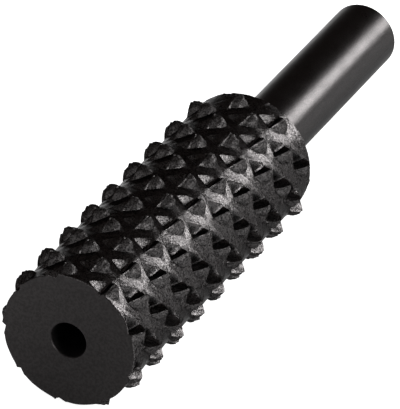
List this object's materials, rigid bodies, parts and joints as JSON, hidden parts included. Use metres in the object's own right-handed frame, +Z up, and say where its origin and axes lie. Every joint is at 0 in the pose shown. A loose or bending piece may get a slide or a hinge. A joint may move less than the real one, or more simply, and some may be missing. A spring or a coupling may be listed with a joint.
{
  "type": "rotary rasp",
  "caption": "Rotary rasp for a drill: a cylindrical steel head covered in staggered punched teeth with a hole in its nose, on a plain round shank.",
  "frame": {"origin": "on the tool's axis at the rear face of the head, where the shank comes out", "axes": "+Y along the axis from the nose to the free end of the shank, +Z up with the tool lying on the side of its head, +X to the right"},
  "size_m": [0.0142, 0.0621, 0.0142],
  "materials": {
    "head_steel": "blackened, matt to satin",
    "shank_steel": "blackened, satin",
    "braze": "darkened braze, satin"
  },
  "bodies": {
    "root": {"rasp_head": "head_steel", "shank": "shank_steel", "braze_ring": "braze"}
  },
  "joints": []
}
